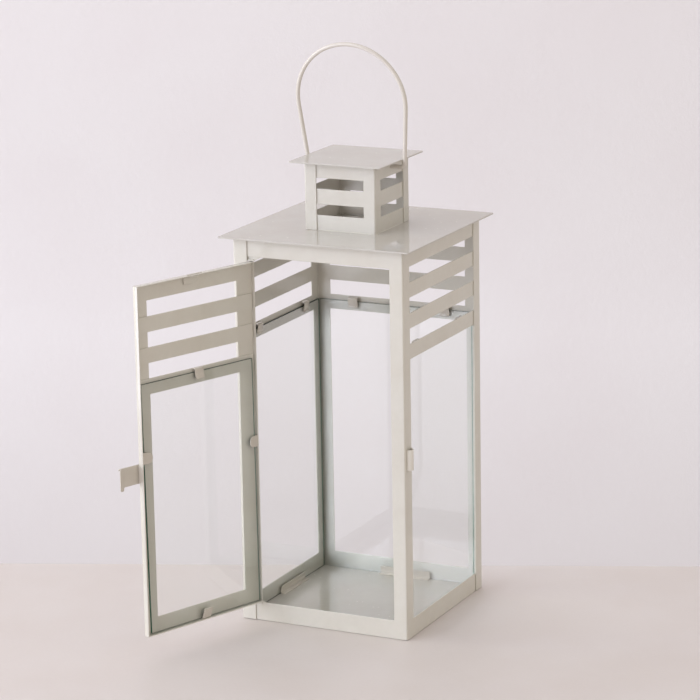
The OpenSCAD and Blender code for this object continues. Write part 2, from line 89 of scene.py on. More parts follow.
camera_data = bpy.data.cameras.new("studio_camera")
camera_data.lens = LENS_LENGTH
camera_data.sensor_width = 36.0
camera = bpy.data.objects.new("studio_camera", camera_data)
camera.matrix_world = tripod_head(CAMERA_PLACE, CAMERA_TURN, CAMERA_TILT, CAMERA_ROLL)
bpy.context.scene.collection.objects.link(camera)
bpy.context.scene.camera = camera
LANTERN_HEART = Vector((0.0, 0.0, 0.2))
print("camera is", round((CAMERA_PLACE - LANTERN_HEART).length, 2), "m from the lantern")

# %% [markdown]
# ## A small kit for writing materials
#
# A node tree can be drawn by hand, but a material with fifty nodes is easier to read as
# arithmetic. `Level` wraps one output socket and overloads + - *, with their reflected
# forms, so that `1 - dust` adds its own Math node too. Its other methods are the few curves
# that these finishes need.

# %% Level
class Level:
    """A value that changes over a surface: one output socket, with operators that add Math nodes."""

    def __init__(self, finish, socket):
        self.finish = finish
        self.socket = socket

    def _math(self, operation, first, second=0.0):
        return self.finish.add("ShaderNodeMath", {"operation": operation}, {0: first, 1: second})

    def __add__(self, other):
        return self._math("ADD", self, other)

    def __sub__(self, other):
        return self._math("SUBTRACT", self, other)

    def __rsub__(self, other):
        return self._math("SUBTRACT", other, self)

    def __mul__(self, other):
        return self._math("MULTIPLY", self, other)

    __radd__ = __add__
    __rmul__ = __mul__

    def over(self, edge):
        """1 where the value is greater than edge, and 0 elsewhere."""
        return self._math("GREATER_THAN", self, edge)

    def size(self):
        """The value without its sign."""
        return self._math("ABSOLUTE", self)

    def fade(self, start, end, low=0.0, high=1.0):
        """Runs smoothly from low at start to high at end."""
        return self.finish.add(
            "ShaderNodeMapRange",
            {"interpolation_type": "SMOOTHSTEP"},
            {"Value": self, "From Min": start, "From Max": end, "To Min": low, "To Max": high},
        )


print("a Level can be added, multiplied, taken from 1, compared and faded")

# %% [markdown]
# ## One material at a time
#
# `Finish` owns one material. It has a single method that adds any node: it takes the node's
# type, its settings, and the values or links of its sockets. Everything else in it is a
# short name for a node that the finishes below use again and again. All patterns read
# Object coordinates, in metres, so a pattern keeps its real size on every piece.

# %% Finish
class Finish:
    """One material and the nodes in it."""

    def __init__(self, name):
        self.material = bpy.data.materials.new(name)
        self.material.use_nodes = True
        self.tree = self.material.node_tree
        self.tree.nodes.clear()
        self.place = self.add("ShaderNodeTexCoord", out="Object")
        self.facing = self.add("ShaderNodeTexCoord", out="Normal")

    def add(self, kind, settings=None, inputs=None, out=0):
        """Adds a node, sets its settings first and then its sockets, and hands back one output."""
        node = self.tree.nodes.new(kind)
        for key, value in (settings or {}).items():
            setattr(node, key, value)
        for key, value in (inputs or {}).items():
            if isinstance(value, Level):
                self.tree.links.new(value.socket, node.inputs[key])
            else:
                node.inputs[key].default_value = value
        return Level(self, node.outputs[out])

    def tint(self, share, base, top):
        """One colour over another, by a share from 0 to 1."""
        return self.add("ShaderNodeMix", {"data_type": "RGBA"}, {0: share, 6: base, 7: top}, out=2)

    def shade(self, colour, level):
        """A colour made lighter or darker all at once by a level near 1."""
        grey = self.add("ShaderNodeCombineColor", None, {0: level, 1: level, 2: level})
        settings = {"data_type": "RGBA", "blend_type": "MULTIPLY"}
        return self.add("ShaderNodeMix", settings, {0: 1.0, 6: colour, 7: grey}, out=2)

    def cloud(self, wavelength, detail=2.0, roughness=0.5):
        """Soft noise from 0 to 1, with blobs of about one wavelength."""
        sockets = {
            "Vector": self.place,
            "Scale": 1.0 / wavelength,
            "Detail": detail,
            "Roughness": roughness,
        }
        return self.add("ShaderNodeTexNoise", {"noise_dimensions": "3D"}, sockets)

    def lying(self, start, end):
        """1 on faces that look up, and 0 on upright ones and those that look down."""
        height = self.add("ShaderNodeSeparateXYZ", None, {0: self.facing}, out="Z")
        return height.fade(start, end)

    def relief(self, height, depth, under=None):
        """A normal bent by a height from 0 to 1 that stands for a depth in metres."""
        sockets = {"Height": height, "Distance": depth, "Strength": 1.0}
        if under is not None:
            sockets["Normal"] = under
        return self.add("ShaderNodeBump", None, sockets)

    def principled(self, **sockets):
        """A Principled shader; an underscore in a socket's name stands for a space."""
        named = {key.replace("_", " "): value for key, value in sockets.items()}
        return self.add("ShaderNodeBsdfPrincipled", None, named)

    def blend(self, share, first, second):
        """Two shaders mixed by a share from 0 to 1."""
        return self.add("ShaderNodeMixShader", None, {0: share, 1: first, 2: second})

    def end(self, surface):
        """Joins the last shader to the material's output."""
        output = self.tree.nodes.new("ShaderNodeOutputMaterial")
        self.tree.links.new(surface.socket, output.inputs["Surface"])
        return self.material


print("a Finish writes one material")

# %% [markdown]
# ## Paint chips
#
# Colours are easiest to judge as a paint chip on a screen, from 0 to 255. The shaders work
# with light, where twice the number is twice the light, so a chip is turned into that scale
# once, here.

# %% Paint chips
SCREEN_KNEE = 0.04045


def colour_of(red, green, blue):
    """A chip as linear colour: c / 12.92 up to the knee, else ((c + 0.055) / 1.055) ** 2.4."""
    chip = np.array([red, green, blue]) / 255.0
    linear = np.where(chip <= SCREEN_KNEE, chip / 12.92, ((chip + 0.055) / 1.055) ** 2.4)
    return (*[float(v) for v in linear], 1.0)


print("a mid grey chip is", round(colour_of(128, 128, 128)[0], 3), "in the shaders")

# %% [markdown]
# ## The enamel
#
# The sheet is dipped or sprayed with a glossy warm grey-white enamel and baked. Seen close
# up such a coat is never flat: it has orange peel a millimetre or two across, thin sheet
# under it buckles very slightly over a few centimetres, the colour drifts a little, and
# dust settles on whatever faces up. A flat Principled colour would look like plastic film,
# so each of these is a noise of its own scale that bends the normal, the colour or the
# gloss. First come the sizes of these marks.

# %% Enamel sizes
GLASSY_INDEX = 1.52
DRIFT_WIDTH = 32 * MM
GRAIN_WIDTH = 5 * MM
PEEL_WIDTH, PEEL_DEPTH = 1.7 * MM, 0.006 * MM
BUCKLE_WIDTH, BUCKLE_DEPTH = 46 * MM, 0.16 * MM
DUST_SPACING, DUST_PATCH, DUST_DEPTH = 5.2 * MM, 24 * MM, 0.05 * MM
DUST_TONE = colour_of(236, 233, 226)
print("orange peel is", round(PEEL_WIDTH / MM, 1), "mm wide and", round(PEEL_DEPTH / MM, 3), "mm deep")

# %% [markdown]
# ## Writing the enamel
#
# The dust could be a second material on loose particles. It is so fine that a Voronoi
# pattern does as well: the small neighbourhood of each cell's centre is one speck, and a
# soft noise lets specks through only in patches and only on faces that look up.

# %% Enamel
def enamel(name, colour, deep, gloss=0.07, buckle=BUCKLE_DEPTH, dust=1.0):
    """A baked enamel on thin sheet: drifting colour, orange peel, slight buckles and dust."""
    f = Finish(name)
    drift = f.cloud(DRIFT_WIDTH, 3.0)
    fine = f.cloud(GRAIN_WIDTH, 4.0, 0.6)
    base = f.tint(drift.fade(0.32, 0.72, 0.0, 0.55), colour, deep)
    base = f.shade(base, fine.fade(0.2, 0.8, 0.982, 1.012))
    lying = f.lying(0.55, 0.95)
    grains = f.add(
        "ShaderNodeTexVoronoi",
        {"feature": "F1", "distance": "EUCLIDEAN"},
        {"Vector": f.place, "Scale": 1.0 / DUST_SPACING, "Randomness": 1.0},
        out="Distance",
    )
    patches = f.cloud(DUST_PATCH, 2.0).fade(0.46, 0.62)
    specks = (1 - grains.fade(0.045, 0.09)) * lying * patches * dust
    base = f.tint(specks * 0.85, base, DUST_TONE)
    rough = drift.fade(0.2, 0.8, gloss - 0.02, gloss + 0.03) + specks * 0.4
    normal = f.relief(f.cloud(BUCKLE_WIDTH, 0.0), buckle)
    normal = f.relief(f.cloud(PEEL_WIDTH, 1.0), PEEL_DEPTH, normal)
    normal = f.relief(specks, DUST_DEPTH, normal)
    return f.end(f.principled(Base_Color=base, Roughness=rough, Normal=normal, IOR=GLASSY_INDEX))


print("enamel() writes a coat from two close tones, a gloss, a buckle depth and an amount of dust")

# %% [markdown]
# ## The coats of this lantern
#
# The real lantern presumably has one coat all over, and one finish would be the honest way
# to make it. The light of this lesson is simpler than that of a real room, though, and with
# one tone some pieces come out too light and others too dark. So each group of pieces has a
# tone nudged by a few steps to make up for the light, which is painted shade and painted
# light: darker on the roof, the cap, the chimney and the floor, and much paler on the keeper,
# which stands in a shadow here. Under another light, start again from the tone of the body.

# %% Coats
BODY_TONES = colour_of(214, 211, 202), colour_of(209, 204, 193)
body_enamel = enamel("body_enamel", *BODY_TONES)
# The roof and the cap have a darker tone than the body, which is painted shade.
top_painted_shade_enamel = enamel(
    "top_painted_shade_enamel",
    colour_of(199, 196, 190),
    colour_of(194, 189, 181),
    gloss=0.03,
    buckle=0.07 * MM,
    dust=1.3,
)
# The chimney's slightly darker tone is painted shade.
chimney_painted_shade_enamel = enamel("chimney_painted_shade_enamel", colour_of(209, 206, 198), colour_of(204, 199, 189))
# The floor's darker tone is painted shade, and its extra dust is real dust.
floor_painted_shade_enamel = enamel(
    "floor_painted_shade_enamel", colour_of(193, 190, 182), colour_of(188, 183, 174), gloss=0.09, dust=1.3
)
door_enamel = enamel("door_enamel", *BODY_TONES, buckle=0.12 * MM)
fitting_enamel = enamel(
    "fitting_enamel", colour_of(207, 201, 191), colour_of(196, 189, 178), gloss=0.12
)
# The keeper's much paler tone is painted light, which makes up for the shadow that falls on it here.
keeper_painted_light_enamel = enamel(
    "keeper_painted_light_enamel", colour_of(232, 229, 222), colour_of(226, 222, 214), gloss=0.1
)
bail_enamel = enamel(
    "bail_enamel", colour_of(216, 210, 203), BODY_TONES[1], gloss=0.12, buckle=0.0
)
print("coats:", [m.name for m in bpy.data.materials if m.name.endswith("enamel")])

# %% [markdown]
# ## The glass
#
# The panes are ordinary 2 mm float glass with cut edges. Looked through, such a pane takes
# about a tenth of the light. Along its cut edge the light has come a long way through the
# glass, which turns it a deep bottle green, and the grinding leaves that edge dull. A
# volume inside the pane could give that colour. Here the ground edge is a second finish,
# mixed in wherever the surface faces along the pane, because that costs no noise. Real
# refraction is used for the rest, and a shadow ray is let straight through, because a ray
# tracer would otherwise give clear glass a black shadow.

# %% Glass
GLASS_CLEAR = (0.978, 0.990, 0.983, 1.0)
GLASS_SHADOW = (0.955, 0.965, 0.96, 1.0)
GLASS_GROUND = (0.055, 0.16, 0.115, 1.0)
# The darker tone of the edges that face up is painted shade.
GLASS_GROUND_TOP_PAINTED_SHADE = (0.03, 0.062, 0.05, 1.0)
RIPPLE_WIDTH, CHIP_WIDTH, RIPPLE_DEPTH = 60 * MM, 1.5 * MM, 0.03 * MM
FACE_LIMIT = 0.4


def window_glass(name, across_pane):
    """Clear glass with dark green ground edges: across_pane is the direction through the pane."""
    f = Finish(name)
    sockets = {0: f.facing, 1: across_pane}
    across = f.add("ShaderNodeVectorMath", {"operation": "DOT_PRODUCT"}, sockets, out="Value")
    edge = 1 - across.size().over(FACE_LIMIT)
    pane = f.principled(
        Base_Color=GLASS_CLEAR,
        Roughness=0.0,
        IOR=GLASSY_INDEX,
        Transmission_Weight=1.0,
        Normal=f.relief(f.cloud(RIPPLE_WIDTH, 1.0), RIPPLE_DEPTH),
    )
    chipping = f.cloud(CHIP_WIDTH, 2.0)
    # The ground edges are green, and where they face up they are darker, which is painted shade.
    green = f.tint(f.lying(0.5, 0.9), GLASS_GROUND, GLASS_GROUND_TOP_PAINTED_SHADE)
    ground = f.principled(
        Base_Color=f.shade(green, chipping.fade(0.3, 0.7, 0.8, 1.2)),
        Roughness=0.3,
        IOR=GLASSY_INDEX,
        Normal=f.relief(chipping, RIPPLE_DEPTH),
    )
    clear = f.add("ShaderNodeBsdfTransparent", None, {"Color": GLASS_SHADOW})
    shadow = f.add("ShaderNodeLightPath", out="Is Shadow Ray")
    return f.end(f.blend(shadow, f.blend(edge, pane, ground), clear))


DOOR_SWING_OPEN = math.radians(-110.6)
through_door = (-math.sin(DOOR_SWING_OPEN), math.cos(DOOR_SWING_OPEN), 0.0)
side_glass = window_glass("side_glass", (1.0, 0.0, 0.0))
back_glass = window_glass("back_glass", (0.0, 1.0, 0.0))
door_glass = window_glass("door_pane_glass", through_door)
print("glasses:", side_glass.name, back_glass.name, door_glass.name)

# %% [markdown]
# ## The pins
#
# The two hinge pins are taken to be plain drawn steel wire, left bare where they turn. Real
# drawn wire has fine lines along it, which an anisotropic shader could show. These pins are
# nearly hidden, so a fine mottle in the roughness and a slight warm tarnish are enough.

# %% Pin steel
MOTTLE_WIDTH, TARNISH_WIDTH = 0.4 * MM, 3 * MM
STEEL_BRIGHT = (0.52, 0.51, 0.49, 1.0)
STEEL_TARNISH = (0.34, 0.30, 0.25, 1.0)


def drawn_steel(name):
    """Bare drawn wire: a fine mottle in its gloss and a thin patchy tarnish."""
    f = Finish(name)
    mottle = f.cloud(MOTTLE_WIDTH, 2.0).fade(0.2, 0.8, 0.25, 0.42)
    tone = f.tint(f.cloud(TARNISH_WIDTH, 3.0).fade(0.4, 0.7), STEEL_BRIGHT, STEEL_TARNISH)
    return f.end(f.principled(Base_Color=tone, Metallic=1.0, Roughness=mottle))


pin_steel = drawn_steel("pin_steel_bare")
print("pins are", pin_steel.name)

# %% [markdown]
# ## Putting the finishes on
#
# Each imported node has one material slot, named for what the node is made of. A finish could
# be given to each of the 32 nodes by name. It is shorter to go by slot, and to name only
# the nodes whose coat or whose pane's direction is their own.

# %% Put the finishes on the CAD nodes
FINISH_OF_SLOT = {
    "body_sheet": body_enamel,
    "door_sheet": door_enamel,
    "fittings": fitting_enamel,
    "bail_wire": bail_enamel,
    "pin_steel": pin_steel,
}
FINISH_OF_NODE = {
    "floor_plate": floor_painted_shade_enamel,
    "roof_plate": top_painted_shade_enamel,
    "cap_plate": top_painted_shade_enamel,
    "chimney_front_right": chimney_painted_shade_enamel,
    "chimney_back_left": chimney_painted_shade_enamel,
    "glass_left": side_glass,
    "glass_right": side_glass,
    "glass_back": back_glass,
    "door_glass": door_glass,
}
for node_name, node in solids.items():
    only_slot = node.material_slots[0]
    only_slot.material = FINISH_OF_NODE.get(node_name) or FINISH_OF_SLOT[only_slot.material.name]
print("finished", len(solids), "nodes")

# %% [markdown]
# ## Soft edges
#
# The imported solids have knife-sharp edges, and their triangles aren't joined. The edges
# could be rounded in CAD, at the price of very many small faces. Here a Weld modifier joins
# the triangles, and a Bevel modifier then rounds each sharp edge a little.

# %% Softening
WELD_REACH = 0.002 * MM
SHARP_ANGLE = math.radians(35)


def soften(node, width, segments, air=0.0, clamp=True):
    """Welds a node's triangles, shrinks it by a little air if asked, and bevels its edges."""
    weld = node.modifiers.new("join_triangles", "WELD")
    weld.merge_threshold = WELD_REACH
    if air:
        shrink = node.modifiers.new("air_gap", "DISPLACE")
        shrink.mid_level = 0.0
        shrink.strength = -air
    bevel = node.modifiers.new("soft_edge", "BEVEL")
    bevel.width = width
    bevel.segments = segments
    bevel.limit_method = "ANGLE"
    bevel.angle_limit = SHARP_ANGLE
    bevel.use_clamp_overlap = clamp


print("soften() rounds edges that turn by more than", round(math.degrees(SHARP_ANGLE)), "degrees")

# %% [markdown]
# ## The left and back panes
#
# Cut glass has its edges stoned, so a pane gets a small flat chamfer. It also shrinks by a
# few hundredths of a millimetre, because glass that touches enamel without any air between
# them traces badly: a ray can't tell which of two faces in one place it meets first.

# %% Soften the panes
PANE_AIR = 0.04 * MM
STONED_EDGE = 0.2 * MM
KEPT_PANES = ("glass_left", "glass_back")
for node_name in KEPT_PANES:
    soften(solids[node_name], STONED_EDGE, 1, PANE_AIR)
print("stoned the edges of", KEPT_PANES)

# %% [markdown]
# ## The sheets
#
# Enamel draws back from a cut edge and leaves it nearly half round, and that round catches
# a thin line of light along every window and slat. Two segments are enough for it. A
# clamped bevel is as narrow everywhere as the tightest spot of a mesh allows, and the bent
# sheets have fine seams, so on them it isn't clamped. On the two flat plates it is, because
# without that the roof grew by a few hundredths of a millimetre.

# %% Soften the sheets
SHEET_EDGE = 0.3 * MM
FLAT_PLATES = ("roof_plate", "cap_plate")
BENT_SHEETS = (
    "shell_front_right",
    "shell_back_left",
    "floor_plate",
    "chimney_front_right",
    "chimney_back_left",
    "door_pan",
)
for node_name in FLAT_PLATES + BENT_SHEETS:
    soften(solids[node_name], SHEET_EDGE, 2, clamp=node_name in FLAT_PLATES)
print("rounded the edges of", len(FLAT_PLATES + BENT_SHEETS), "sheets")

# %% [markdown]
# ## A way to bend sheet
#
# Every small fitting on this lantern is a strip of thin sheet that was cut, bent and coated
# with the rest. Such a strip could be modelled from a cube with a lot of loop cuts. It is
# easier to describe it as the maker would: a side view, which is a line with
# round bends, and a width. The helpers below work in millimetres, like a drawing. The first
# one rounds the corners of a line.

# %% Bent line
def bent_line(corners, bends, steps=7):
    """A line through corners whose inner corners are rounded to the radii in bends.

    Where the line turns by an angle t from direction a to direction b, the bend starts
    r tan(t / 2) before the corner. Its points are start + r sin(s) a + r (1 - cos(s)) m for
    s from 0 to t, where m is the unit vector square to a on the side of b.
    """
    corners = np.asarray(corners, float)
    parts = [corners[:1]]
    for before, corner, after, radius in zip(corners[:-2], corners[1:-1], corners[2:], bends):
        a = (corner - before) / np.linalg.norm(corner - before)
        b = (after - corner) / np.linalg.norm(after - corner)
        turn = np.arccos(np.clip(a @ b, -1.0, 1.0))
        m = (b - a * (a @ b)) / np.linalg.norm(b - a * (a @ b))
        s = np.linspace(0.0, turn, steps)[:, None]
        start = corner - a * radius * np.tan(turn / 2)
        parts.append(start + radius * np.sin(s) * a + radius * (1 - np.cos(s)) * m)
    parts.append(corners[-1:])
    return np.concatenate(parts)


print("a square corner becomes", len(bent_line([(0, 0), (1, 0), (1, 1)], [0.3])), "points")

# %% [markdown]
# ## From a line to a strip
#
# A rectangle with round corners is carried along the side view, square to it. The width
# may change on the way, which is how a tongue gets a round nose and a latch gets a tooth. A
# Bevel modifier could round the strip afterwards, but it would stumble over the tight
# bends, and here the round costs only a few points more in each ring.

# %% Strip
CORNER_TURN = np.radians([0, 45, 90, 90, 135, 180, 180, 225, 270, 270, 315, 360])
ON_HIGH_SIDE = np.array([1, 1, 1, 0, 0, 0, 0, 0, 0, 1, 1, 1])
ON_TOP = np.array([1, 1, 1, 1, 1, 1, -1, -1, -1, -1, -1, -1])
END_STEPS = np.array([0.0, 0.3, 1.0])


def strip(side_view, low, high, thickness, edge=0.12):
    """Rings of a bent strip: side_view is its middle line (out, up), low and high its sides.

    Each ring is a rectangle with round corners. A ring's point is c + v n across the sheet
    and u along its width, where c is the point of the side view, n is square to the line
    there, and (u, v) goes round the rectangle. At both ends the rings shrink by `edge`, so
    that the cut ends are round too.
    """
    line = np.asarray(side_view, float)
    low, high = (np.broadcast_to(np.asarray(v, float), len(line)) for v in (low, high))
    lead, tail = line[1] - line[0], line[-1] - line[-2]
    lead, tail = lead / np.linalg.norm(lead), tail / np.linalg.norm(tail)
    steps = END_STEPS[:, None] * edge
    line = np.concatenate([line[:1] + steps * lead, line[1:-1], line[-1:] - steps[::-1] * tail])
    low, high = (np.concatenate([v[:1].repeat(3), v[1:-1], v[-1:].repeat(3)]) for v in (low, high))
    inset = np.zeros(len(line))
    inset[:3] = inset[-3:][::-1] = END_STEPS[::-1] * edge
    along_line = np.gradient(line, axis=0)
    along_line /= np.linalg.norm(along_line, axis=1)[:, None]
    square = np.stack([-along_line[:, 1], along_line[:, 0]], axis=1)
    half = thickness / 2 - inset
    bend = np.minimum(edge, half * 0.98)
    high_side, low_side = (high - inset - bend)[:, None], (low + inset + bend)[:, None]
    u = np.where(ON_HIGH_SIDE == 1, high_side, low_side) + bend[:, None] * np.cos(CORNER_TURN)
    v = (half - bend)[:, None] * ON_TOP + bend[:, None] * np.sin(CORNER_TURN)
    flat = line[:, None, :] + v[..., None] * square[:, None, :]
    return np.concatenate([flat, u[..., None]], axis=2)


print("a strip has", len(CORNER_TURN), "points in each ring")

# %% [markdown]
# ## Setting a strip in place
#
# A strip is drawn flat, as out, up and across, and then stood where it belongs. An object
# could be turned there instead, but a finished piece keeps its object at the origin, so the
# points themselves are moved. Pieces of the door are drawn on the closed door and hung.

# %% Placing
X, Y, Z = (1, 0, 0), (0, 1, 0), (0, 0, 1)
HINGE_LINE = np.array([-56.1, -69.15])


def stand(rings, origin, out, up, across):
    """Places rings of (out, up, across) lengths at an origin, along three directions."""
    return np.asarray(origin, float) + rings @ np.array([out, up, across], float)


def hung(points):
    """Turns points of the closed door about the hinge line to where the open door holds them."""
    c, s = math.cos(DOOR_SWING_OPEN), math.sin(DOOR_SWING_OPEN)
    turned = np.array(points, float)
    turned[..., :2] = (turned[..., :2] - HINGE_LINE) @ np.array([[c, s], [-s, c]]) + HINGE_LINE
    return turned


print("the closed latch side hangs at", np.round(hung([58.5, -70.35, 0.0])[:2], 1), "mm")

# %% [markdown]
# ## From rings to an object
#
# The last helper turns rings into one closed mesh, in metres. Whether its normals point
# outwards could be left to Blender's own recalculation. A signed volume says it at once,
# and gives the same answer on every machine. The helper also hangs the piece on the body
# that it rides on, gives it its finish, and hides the imported nodes that it stands for.

# %% Skin
def skin(name, grids, finish, body, replaced=(), crease=38.0):
    """One closed object from grids of rings in millimetres, with its normals outwards.

    Rings i and i + 1 are joined by quads, and the first and the last ring are closed. The
    signed volume, which is the sum of p0 . (p1 x p2) / 6 over the triangles, says whether
    the faces look inwards, and then each is turned round.
    """
    points, faces, first = [], [], 0
    for rings in grids:
        count, around = rings.shape[:2]
        index = first + np.arange(count * around).reshape(count, around)
        beside = np.roll(index, -1, axis=1)
        quads = np.stack([index[:-1], beside[:-1], beside[1:], index[1:]], axis=-1).reshape(-1, 4)
        caps = [index[0][::-1], index[-1]]
        flat = rings.reshape(-1, 3)
        p = flat[quads - first]
        halves = np.cross(p[:, 1], p[:, 2]) + np.cross(p[:, 2], p[:, 3])
        volume = np.einsum("ij,ij->", p[:, 0], halves)
        for cap in caps:
            q = flat[cap - first]
            volume += (np.cross(q[1:-1], q[2:]) @ q[0]).sum()
        turn = 1 if volume > 0 else -1
        faces += [quad[::turn].tolist() for quad in quads]
        faces += [cap[::turn].tolist() for cap in caps]
        points.append(flat * MM)
        first += count * around
    mesh = bpy.data.meshes.new(name)
    mesh.from_pydata(np.concatenate(points).tolist(), [], faces)
    mesh.shade_smooth()
    mesh.set_sharp_from_angle(angle=math.radians(crease))
    mesh.materials.append(finish)
    piece = bpy.data.objects.new(name, mesh)
    bpy.context.scene.collection.objects.link(piece)
    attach(piece, body)
    if replaced:
        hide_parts(*replaced)
    print(name, "has", len(mesh.polygons), "faces")


print("skin() is ready")

# %% [markdown]
# ## The spring clips over the panes
#
# Two strips 8.3 mm wide stand on the lowest slat of each wall. Each rises, turns over the
# top of the glass in a round arch, comes down on the inside and ends in a tip that flares
# away from the pane. A box with a bevel would look cast, so each clip is a bent strip whose
# bends are about as tight as such sheet allows.

# %% Wall clips
CLIP_SHEET = 0.6
CLIP_WIDTH = 8.3
CLIP_PLACES = (-37.2, 42.0)
PANE_TOP = 224.0
SLAT_FACE = 69.2
WALL_CLIP_CORNERS = [(0.3, 0.4), (0.3, 3.35), (4.0, 3.3), (2.4, -3.2), (3.0, -4.7)]
WALL_CLIP_BENDS = [0.9, 1.2, 2.0]
WALL_DIRECTIONS = {"back": ((0, -1, 0), X, 1), "left": (X, Y, 1), "right": ((-1, 0, 0), Y, -1)}


def on_wall(rings, wall, reach, height, place=0.0):
    """Stands rings against the inside of a wall that is `reach` from the middle.

    The origin is place times the direction along the wall, less reach times the direction
    out of it, at the height. Seen from inside, places count the same way on each wall.
    """
    out, across, sign = WALL_DIRECTIONS[wall]
    origin = sign * place * np.array(across, float) - reach * np.array(out, float)
    return stand(rings, origin + (0, 0, height), out, Z, across)


def clip_rings(corners, bends):
    """Rings of a clip, with half of its width to each side of 0."""
    return strip(bent_line(corners, bends), -CLIP_WIDTH / 2, CLIP_WIDTH / 2, CLIP_SHEET)


wall_clip = clip_rings(WALL_CLIP_CORNERS, WALL_CLIP_BENDS)
for wall in WALL_DIRECTIONS:
    pair = [on_wall(wall_clip, wall, SLAT_FACE, PANE_TOP, place) for place in CLIP_PLACES]
    skin(f"pane_clips_{wall}", pair, fitting_enamel, "body", [f"clips_{wall}"])

# %% [markdown]
# ## The angles on the floor
#
# The foot of each wall pane stands behind a long angle of the same sheet. Its upright leans
# on the glass low down and is rolled away from it along the top, which makes a bright line
# with a dark gap behind it. Two boxes would give an angle without that roll; the side view
# does all of it with one bend more.

# %% Floor angles
FLOOR_TOP = 1.6
PANE_FACE = 67.2
ANGLE_CORNERS = [(4.4, 0.3), (0.5, 0.3), (0.42, 3.4), (1.15, 6.3)]
ANGLE_BENDS = [0.5, 2.6]
ANGLE_SPANS = {"back": (-16.5, 25.5), "left": (-12.0, 30.0), "right": (-21.0, 21.0)}

for wall, (low, high) in ANGLE_SPANS.items():
    rings = strip(bent_line(ANGLE_CORNERS, ANGLE_BENDS), low, high, CLIP_SHEET)
    rings = on_wall(rings, wall, PANE_FACE, FLOOR_TOP)
    skin(f"floor_angle_{wall}", [rings], fitting_enamel, "body", [f"bracket_{wall}"])

# %% [markdown]
# ## The door's clips above and below the glass
#
# The clip on the lowest slat is like those on the walls, with a longer flare. The one at
# the bottom is a plain angle that leans well away from the glass. Both are drawn on the
# closed door, where out is towards the back of the lantern, and then hung.

# %% Door clips over and under the glass
DOOR_MIDDLE = 0.6
DOOR_SLAT_FACE = -68.75
DOOR_SILL = 15.8
DOOR_PANE_TOP = 209.0
OVER_CORNERS = [(0.3, 0.3), (0.3, 2.9), (2.6, 2.5), (2.75, -1.0), (4.3, -5.0)]
OVER_BENDS = [0.8, 1.0, 3.0]
UNDER_CORNERS = [(0.35, 0.35), (2.55, 0.35), (5.9, 9.0)]
UNDER_BENDS = [0.9]


def door_clip(name, corners, bends, height, node):
    """A clip in the middle of the door, with its own zero height at `height`."""
    rings = stand(clip_rings(corners, bends), (DOOR_MIDDLE, DOOR_SLAT_FACE, height), Y, Z, X)
    skin(name, [hung(rings)], fitting_enamel, "door", [node])


door_clip("door_clip_over_glass", OVER_CORNERS, OVER_BENDS, DOOR_PANE_TOP, "door_clip_top")
door_clip("door_clip_under_glass", UNDER_CORNERS, UNDER_BENDS, DOOR_SILL, "door_clip_bottom")

# %% [markdown]
# ## The door's side clips
#
# The two clips at the sides are tongues with a round nose, welded to the inner face of a
# flange, and their noses are sprung up a little. A disc joined to a box would show a seam
# where they meet. A strip whose width follows a half circle at its end has none.

# %% Side tongues
TONGUE_RADIUS, NOSE_START = 4.4, 4.6
TONGUE_FOOT = [(0.32, 0.3), (0.32, 2.4), (1.6, 2.4)]
TONGUE_BEND = 0.7
TONGUE_TIP, TONGUE_SPRING, SPRING_RUN = 9.05, 1.1, 7.4

tongue_out = np.linspace(TONGUE_FOOT[-1][0], TONGUE_TIP, 26)
tongue_rise = np.clip((tongue_out - TONGUE_FOOT[-1][0]) / SPRING_RUN, 0, 1) ** 1.6
tongue_up = TONGUE_FOOT[-1][1] + TONGUE_SPRING * tongue_rise
tongue_foot = bent_line(TONGUE_FOOT, [TONGUE_BEND])[:-1]
tongue_view = np.concatenate([tongue_foot, np.stack([tongue_out, tongue_up], 1)])


def nose(view, radius, start):
    """How far a tongue reaches to each side of its middle: r sqrt(1 - x x), with x past start."""
    past = np.clip((view[:, 0] - start) / (radius * 1.02), 0.0, 1.0)
    return radius * np.sqrt(1.0 - past**2)


def side_tongue(name, flange_face, inward, height, node):
    """A tongue on a flange's inner face that turns in over the glass, with its middle at height."""
    half = nose(tongue_view, TONGUE_RADIUS, NOSE_START)
    rings = strip(tongue_view, -half, half, CLIP_SHEET)
    rings = stand(rings, (flange_face, DOOR_SLAT_FACE, height), (inward, 0, 0), Y, Z)
    skin(name, [hung(rings)], fitting_enamel, "door", [node])


side_tongue("door_clip_by_hinge", -56.5, 1, 144.0, "door_clip_hinge_side")
side_tongue("door_clip_by_latch", 57.7, -1, 153.0, "door_clip_free_side")

# %% [markdown]
# ## The tab under the door's top flange
#
# The top flange of the door carries a small tab near its middle, folded down from it onto
# the inside of the rail. A fine slit is left between its upper edge and the flange, its
# lower corner is rounded, and a short lip of the cut sheet stands out over it. The tab could
# be a bump in the door's finish, but its edge throws a real shadow, so it is a thin strip.

# %% Door tab
TAB_LOW, TAB_TOP, TAB_RISE = 276.4, 281.3, 2.4
TAB_SHEET = 0.3
SLIT_LOW, SLIT_TOP, SLIT_REACH = 281.0, 281.5, 1.3

tab_x = np.linspace(-3.0, 11.0, 15)
tab_low = TAB_LOW + TAB_RISE * np.clip((4.0 - tab_x) / 7.0, 0.0, 1.0) ** 2
tab_rings = strip(np.stack([tab_x, np.zeros(15)], 1), tab_low, TAB_TOP, TAB_SHEET, edge=0.1)
tab_rings = stand(tab_rings, (0, DOOR_SLAT_FACE + 0.14, 0), X, Y, Z)
lip_line = [(-2.8, 0.0), (1.5, 0.0), (6.0, 0.0)]
slit_rings = strip(lip_line, SLIT_LOW, SLIT_TOP, SLIT_REACH, edge=0.15)
slit_rings = stand(slit_rings, (0, DOOR_SLAT_FACE + 0.6, 0), X, Y, Z)
skin("door_top_tab", [hung(tab_rings), hung(slit_rings)], door_enamel, "door")

